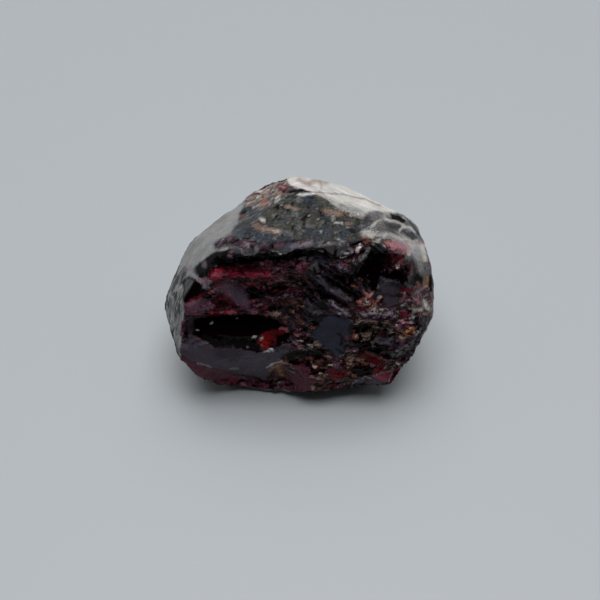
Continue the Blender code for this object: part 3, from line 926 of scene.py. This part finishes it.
def skin_cover(points, on_skin, outline, soft=COVER_SOFTNESS, width=0):
    """How much an outline, or a stroke along it, covers the skin."""
    x, y = sight_pixels(points)
    return line_share(x, y, outline, soft, width) * on_skin


def crust_cover(points, on_skin):
    return skin_cover(points, on_skin, FIELDS["crusted_ridge"][1])


def crust_lumps(points):
    return fractal_noise(points, size=1.2, seed=301)


def bead_covers(points, on_skin):
    """Where small beads cover the skin: the corner of the top face, and its front edge."""
    corner = skin_cover(points, on_skin, FIELDS["pebbly_corner"][1])
    return corner, skin_cover(points, on_skin, BEADED_EDGE, BEADED_EDGE_SOFTNESS, BEADED_EDGE_WIDTH)


def shaken(points, shakes):
    """How far noise moves each place."""
    return sum(strength * fractal_noise(points, size, seed) for strength, size, seed in shakes)


def paint_faces(masks, nearest, on_skin):
    for number, name in enumerate(FACE_NAMES):
        paint(masks, FACE_SKINS.get(name, "slate"), (on_skin & (nearest == number)).astype(float))


def paint_fields(masks, x, y, grain, number, broken):
    for order, (name, (mix, outline)) in enumerate(FIELDS.items()):
        share = line_share(x, y, outline, WIDE_SOFTNESS if name in SOFT_FIELDS else FIELD_SOFTNESS)
        if name in SOFT_FIELDS:
            share = share * SOFT_FIELD_STRENGTH
        if name == "whole_break":
            share = share * broken
        scale = FINE_GRAIN if name == "top_specks" else 1.0
        paint_mix(masks, mix, grain * scale, number, share, FIELD_SEED + FIELD_SEED_STEP * order)


def paint_beads(masks, points, on_skin):
    bead, dome = beads(points)
    on_bead = np.clip(dome * BEAD_CONTRAST - BEAD_EDGE, 0, 1)
    covers = zip(bead_covers(points, on_skin), BEAD_GAPS, (CORNER_BEADS, EDGE_BEADS))
    for cover, gap, bead_kinds in covers:
        paint(masks, gap, cover * GAP_SHARE)
        for kind, low, high in bead_kinds:
            paint(masks, kind, cover * on_bead * ((bead >= low) & (bead < high)))


def paint_crust(masks, points, on_skin):
    lumps, cover = crust_lumps(points), crust_cover(points, on_skin)
    for kind, level, fade in CRUST_KINDS:
        paint(masks, kind, cover * np.clip(0.5 + (lumps - level) / fade, 0, 1))


def paint_marks(masks, x, y):
    for name, (kind, *width, outline) in MARKS.items():
        soft = WIDE_SOFTNESS if name in SOFT_MARKS else MARK_SOFTNESS
        paint(masks, kind, line_share(x, y, outline, soft, *width))


def front_masks(points, broken, nearest, number, way):
    """The colours that the photograph shows."""
    masks = {kind: np.zeros(len(points)) for kind in KINDS}
    grain = grain_places(points, broken, lies_on(nearest, STRIPED_FACES))
    x, y = sight_pixels(points - FLAKE_SNAP * way)
    x, y = x + shaken(points, X_SHAKES), y + shaken(points, Y_SHAKES)
    paint_faces(masks, nearest, ~broken)
    paint_fields(masks, x, y, grain, number, broken)
    paint_beads(masks, points, ~broken)
    paint_crust(masks, points, ~broken)
    paint_marks(masks, x, y)
    return masks


def back_masks(points):
    """The colours of the skin where the photograph doesn't show it."""
    masks = {kind: np.zeros(len(points)) for kind in KINDS}
    paint_mix(masks, "back_skin", points * BACK_PATCHES, number=0.0, share=1.0, seed=350)
    paint_mix(masks, "back_specks", points * BACK_SPECKS, number=0.0, share=1.0, seed=380)
    return masks


def colour_masks(points, broken, nearest, number, way, in_view):
    """How much of each kind of colour every point has."""
    masks = back_masks(points)
    seen = np.flatnonzero(broken | lies_on(nearest, SEEN_FACES))
    front = front_masks(points[seen], broken[seen], nearest[seen], number[seen], way[seen])
    for kind, mask in masks.items():
        mask[seen] += in_view[seen] * (front[kind] - mask[seen])
    return masks


# -------- the skin's relief
SKIN_SWELL = 0.09
SKIN_ROUGHNESS = 0.03
GROWTH_SWELL = 0.5
GROWTH_STEP = 0.11
GROWTH_SLOPE = (0.3, 0.7)


def terraced(height, step):
    """The same height in level steps with short slopes between them."""
    levels = height / step
    return step * (np.floor(levels) + smoothstep(levels % 1, *GROWTH_SLOPE))


def skin_relief(points, on_skin, in_view):
    """How far the skin stands out: low swells and grain everywhere, lumps and beads where it is crusted,
    and growth steps on the back."""
    swell = SKIN_SWELL * fractal_noise(points, size=1.8, seed=311)
    grain = SKIN_ROUGHNESS * fractal_noise(points, size=0.6, seed=321)
    crust = CRUST_HEIGHT * crust_cover(points, on_skin) * crust_lumps(points)
    _, dome = beads(points)
    beaded = BEAD_HEIGHT * np.maximum(*bead_covers(points, on_skin)) * dome
    hollow = skin_cover(points, on_skin, APEX_HOLLOW, APEX_HOLLOW_SOFTNESS, APEX_HOLLOW_WIDTH)
    rim_cover = skin_cover(points, on_skin, FIELDS["right_side"][1])
    rim = RIM_HEIGHT * rim_cover * fractal_noise(points, size=1.1, seed=341)
    growth = terraced(GROWTH_SWELL * fractal_noise(points, size=4.5, seed=361), GROWTH_STEP)
    return swell + grain + crust + beaded - APEX_HOLLOW_DEPTH * hollow + rim + (1 - in_view) * growth


def store(mesh, points, looks):
    """Move the mesh's vertices to these points, and keep these values on them for the material."""
    mesh.vertices.foreach_set("co", (points * MM).astype(np.float32).ravel())
    mesh.update()
    for name, values in looks.items():
        attribute = mesh.attributes.new(name, "FLOAT", "POINT")
        attribute.data.foreach_set("value", np.asarray(values, np.float32))


def crystal_surface():
    """The visible mesh: the CAD's shape with its skin rounded, the fine relief on it, and its colours."""
    mesh = remeshed(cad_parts[NODE], SKIN_SPACING)
    split_break_faces(mesh)
    points = vectors_of(mesh, "co")
    broken = on_break(points)
    u, v, w = break_places(points)
    behind = np.where(broken, 0.0, scarred(u, v) - w)
    near_break = 1 - smoothstep(behind, 0.0, BREAK_BORDER)
    off_base = smoothstep(points[:, 2], *BASE_BAND)
    points = smoothed(points, mesh, np.where(broken, 0, (1 - near_break) * off_base), ROUNDING_PASSES)

    nearest = nearest_faces(points)
    normals = vectors_of(mesh, "normal")
    facing = normals @ TO_CAMERA + VIEW_WOBBLE * fractal_noise(points, size=1.5, seed=371)
    in_view = np.where(broken, 1.0, smoothstep(facing, *VIEW_FADE))
    on_skin = ~broken & lies_on(nearest, SEEN_FACES)
    relief = skin_relief(points, on_skin, in_view) * ~broken * off_base
    fine, number, way_u, way_v = fine_break(u, v)
    shift = np.where(broken, fine - w, (fine - scarred(u, v)) * near_break)
    points = points + shift[:, None] * BREAK_OUT + relief[:, None] * normals
    points = smoothed(points, mesh, EASING_SHARE * broken, EASING_PASSES)

    way = (way_u[:, None] * BREAK_RIGHT + way_v[:, None] * BREAK_UP) * broken[:, None]
    looks = colour_masks(points, broken, nearest, number, way, in_view)
    rough = broken * (1 - smooth_share(u, v))
    looks["broken"] = broken
    looks["rough"] = rough
    looks["flake"] = 0.5 + rough * ((number * SHADE_SHUFFLE) % 1 - 0.5)
    looks["striped"] = np.maximum(lies_on(nearest, STRIPED_FACES) & ~broken, 1 - in_view)
    store(mesh, points, looks)
    return mesh


# -------- materials
GARNET_IOR = 1.79
SHINE = 0.05
# The kinds' shares are divided by their sum, which starts just above 0.
LEAST_TOTAL = 0.02
WARM = (1.07, 1.0, 0.93, 1)
COOL = (0.93, 0.99, 1.07, 1)
DARKEST_GRAIN = 0.06
DARKEST_PIT = 0.05


class Nodes:
    """The node tree of a material or of the world, with short calls for the nodes that it needs."""

    def __init__(self, owner, shader="Principled BSDF"):
        owner.use_nodes = True
        self.tree = owner.node_tree
        self.shader = self.tree.nodes[shader]

    def put(self, inputs, node):
        """Link or set these inputs of a node."""
        for name, value in inputs.items():
            if isinstance(value, bpy.types.NodeSocket):
                self.tree.links.new(value, node.inputs[name])
            else:
                node.inputs[name].default_value = value

    def add(self, kind, inputs, **settings):
        node = self.tree.nodes.new(kind)
        for name, value in settings.items():
            setattr(node, name, value)
        self.put(inputs, node)
        return node

    def maths(self, operation, first, second, third=0.0):
        return self.add("ShaderNodeMath", {0: first, 1: second, 2: third}, operation=operation).outputs[0]

    def vector(self, operation, first, second, third=(0.0, 0.0, 0.0)):
        inputs = {0: first, 1: second, 2: third}
        return self.add("ShaderNodeVectorMath", inputs, operation=operation).outputs[0]

    def attribute(self, name):
        return self.add("ShaderNodeAttribute", {}, attribute_name=name).outputs["Fac"]

    def noise(self, size, detail=3.0, roughness=0.5, stretch=None):
        """Noise from 0 to 1 with lumps of this size in millimetres."""
        place = self.add("ShaderNodeTexCoord", {}).outputs["Object"]
        if stretch:
            place = self.add("ShaderNodeMapping", {"Vector": place, "Scale": stretch}).outputs[0]
        inputs = {"Vector": place, "Scale": 1 / (size * MM), "Detail": detail, "Roughness": roughness}
        return self.add("ShaderNodeTexNoise", inputs).outputs["Fac"]

    def range(self, value, low, high, to_low=0.0, to_high=1.0):
        inputs = {"Value": value, "From Min": low, "From Max": high, "To Min": to_low, "To Max": to_high}
        return self.add("ShaderNodeMapRange", inputs).outputs[0]

    def blend(self, share, first, second):
        """A mix of two colours, whose sockets are the Mix node's seventh and eighth."""
        inputs = {0: share, 6: first, 7: second}
        return self.add("ShaderNodeMix", inputs, data_type="RGBA").outputs[2]

    def bump(self, height, distance, strength, normal=None):
        inputs = {"Height": height, "Distance": distance * MM, "Strength": strength}
        if normal:
            inputs["Normal"] = normal
        return self.add("ShaderNodeBump", inputs).outputs[0]


def laid_kinds(n, rough_break):
    """The kinds laid by their masks, with ragged borders: the sums of their colour, roughness and grain,
    the sum of their shares, and how much of the stone is bare."""
    raggedness = n.range(rough_break, 0, 1, 0.22, 0.5)
    ragged = n.range(n.noise(0.2, detail=4.0, roughness=0.6), 0.25, 0.75, -1, 1)
    ragged = n.maths("MULTIPLY", ragged, raggedness)
    colour, roughness, total, bare = (0.0, 0.0, 0.0), 0.0, LEAST_TOTAL, 1.0
    contrast = n.range(rough_break, 0, 1, 0.0, 0.6)
    for kind, (base, rough, grain) in KINDS.items():
        mask = n.attribute(kind)
        edge = n.maths("ADD", mask, n.maths("MULTIPLY", ragged, n.range(mask, 0.0, 0.2)))
        share = n.range(edge, 0.1, 0.9)
        colour = n.vector("MULTIPLY_ADD", base, share, colour)
        roughness = n.maths("MULTIPLY_ADD", share, rough, third=roughness)
        contrast = n.maths("MULTIPLY_ADD", share, grain, third=contrast)
        total = n.maths("ADD", total, share)
        bare = n.maths("SUBTRACT", bare, share)
    return colour, roughness, n.maths("MAXIMUM", contrast, 0.0), total, n.maths("MAXIMUM", bare, 0.0)


def shading(n, rough_break, contrast):
    """The kinds' light and dark: clouds, grain, each flake's own shade, lines on striped faces and pits
    in the rough break, a little warm here and cool there."""
    warmth = n.range(n.noise(1.1, detail=4.0, roughness=0.6), 0.35, 0.65)
    cloudy = n.range(n.noise(1.6, roughness=0.6), 0.3, 0.7, 0.8, 1.2)
    flaky = n.range(n.attribute("flake"), 0, 1, 0.6, 1.4)
    lines = n.range(n.noise(0.3, roughness=0.6, stretch=(1, 1, 0.1)), 0.35, 0.65, -0.35, 0.35)
    lined = n.maths("MULTIPLY_ADD", n.attribute("striped"), lines, third=1.0)
    grains = n.range(n.noise(0.3, detail=5.0, roughness=0.7), 0.32, 0.68, -1, 1.1)
    grainy = n.maths("MAXIMUM", n.maths("MULTIPLY_ADD", grains, contrast, third=1.0), DARKEST_GRAIN)
    pits = n.range(n.noise(0.4, detail=4.0, roughness=0.65, stretch=(0.45, 1, 1)), 0.4, 0.56, -1.0, 0.3)
    pitted = n.maths("MULTIPLY_ADD", pits, n.maths("MULTIPLY", rough_break, contrast), third=1.0)
    shade = n.maths("MULTIPLY", n.maths("MULTIPLY", cloudy, grainy), n.maths("MULTIPLY", flaky, lined))
    shade = n.maths("MULTIPLY", shade, n.maths("MAXIMUM", pitted, DARKEST_PIT))
    return n.vector("MULTIPLY", n.blend(warmth, WARM, COOL), shade)


def garnet_material():
    """The stone: dark wine glass where it is bare, and each kind of colour where its mask is."""
    material = bpy.data.materials.new("garnet_stone")
    n = Nodes(material)
    rough_break = n.attribute("rough")
    colour, roughness, contrast, total, bare = laid_kinds(n, rough_break)
    colour = n.vector("MULTIPLY", colour, shading(n, rough_break, contrast))
    colour = n.vector("MULTIPLY_ADD", WINE, bare, colour)
    roughness = n.maths("MULTIPLY_ADD", bare, WINE_ROUGHNESS, third=roughness)
    spread = n.maths("DIVIDE", 1.0, n.maths("ADD", total, bare))
    uneven = n.range(n.noise(0.5), 0.3, 0.7, -0.04, 0.08)
    broken = n.attribute("broken")
    coarse = n.bump(n.noise(0.3, detail=4.0, roughness=0.6), 0.05, n.range(broken, 0, 1, 0.8, 0.25))
    fine = n.bump(n.noise(0.12, detail=2.0), 0.02, n.range(broken, 0, 1, 0.6, 0.1), coarse)
    inputs = {
        "Base Color": n.vector("MULTIPLY", colour, spread),
        "Roughness": n.maths("MULTIPLY_ADD", roughness, spread, third=uneven),
        "IOR": GARNET_IOR,
        "Specular IOR Level": SHINE,
        "Normal": fine,
    }
    n.put(inputs, n.shader)
    return material


def build_crystal():
    mesh = crystal_surface()
    mesh.shade_smooth()
    mesh.set_sharp_from_angle(angle=math.radians(SHARP_EDGE))
    piece = bpy.data.objects.new("garnet_crystal_surface", mesh)
    bpy.context.scene.collection.objects.link(piece)
    mesh.materials.clear()
    mesh.materials.append(garnet_material())
    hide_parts(NODE)
    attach(piece, "root")


# -------- floor, lights and camera
# The floor's and the lights' lengths are in metres.
FLOOR_SIZE = 6.0
FLOOR_COLOUR = (0.6, 0.63, 0.65, 1)
FLOOR_ROUGHNESS = 0.5
# Each soft light: azimuth, elevation, distance, width, height, watts, colour.
LIGHTS = {
    "overhead": (90, 84, 1.5, 1.3, 1.3, 16.0, (0.96, 0.98, 1.0)),
    "window": (80, 60, 1.6, 1.4, 1.0, 2.0, (1.0, 0.99, 0.97)),
}
LIGHT_TARGET = (0, 0, 0.01)
ROOM_COLOUR = (0.93, 0.98, 1.0, 1)
ROOM_LIGHT = 0.22
DARK_SIDE_LIGHT = 0.015
DARK_SIDE_ELEVATION = 22.0
DARK_SIDE_EDGE = (0.1, 0.7)


def build_floor():
    bpy.ops.mesh.primitive_plane_add(size=FLOOR_SIZE)
    floor = bpy.context.object
    floor.name = "floor"
    material = bpy.data.materials.new("pale_board")
    n = Nodes(material)
    n.put({"Base Color": FLOOR_COLOUR, "Roughness": FLOOR_ROUGHNESS}, n.shader)
    floor.data.materials.append(material)


def aim(obj, place, target):
    obj.location = Vector(place)
    obj.rotation_euler = (Vector(target) - Vector(place)).to_track_quat("-Z", "Y").to_euler()


def build_lights():
    for name, (azimuth, elevation, distance, width, height, power, colour) in LIGHTS.items():
        light = bpy.data.lights.new(name, "AREA")
        light.shape = "RECTANGLE"
        light.size = width
        light.size_y = height
        light.energy = power
        light.color = colour
        lamp = bpy.data.objects.new(name, light)
        bpy.context.scene.collection.objects.link(lamp)
        aim(lamp, direction(azimuth, elevation) * distance, LIGHT_TARGET)


def build_room():
    """The world's light: a pale room, dark only on the photographer's side."""
    world = bpy.data.worlds.new("room")
    bpy.context.scene.world = world
    n = Nodes(world, "Background")
    place = n.add("ShaderNodeTexCoord", {}).outputs["Generated"]
    sides = {0: place, 1: direction(FRONT, DARK_SIDE_ELEVATION)}
    towards = n.add("ShaderNodeVectorMath", sides, operation="DOT_PRODUCT").outputs["Value"]
    limits = {"From Min": DARK_SIDE_EDGE[0], "From Max": DARK_SIDE_EDGE[1], "To Min": ROOM_LIGHT}
    inputs = {"Value": towards, **limits, "To Max": DARK_SIDE_LIGHT}
    light = n.add("ShaderNodeMapRange", inputs, interpolation_type="SMOOTHSTEP").outputs[0]
    n.put({"Color": ROOM_COLOUR, "Strength": light}, n.shader)


def build_camera():
    data = bpy.data.cameras.new("camera")
    data.lens = CAMERA_LENS
    data.sensor_width = SENSOR_WIDTH
    data.clip_start = CLIP_START * MM
    camera = bpy.data.objects.new("camera", data)
    bpy.context.scene.collection.objects.link(camera)
    aim(camera, (CAMERA_TARGET + CAMERA_DISTANCE * TO_CAMERA) * MM, CAMERA_TARGET * MM)
    bpy.context.scene.camera = camera


bpy.context.scene.view_settings.view_transform = "Standard"
build_crystal()
build_floor()
build_lights()
build_room()
build_camera()
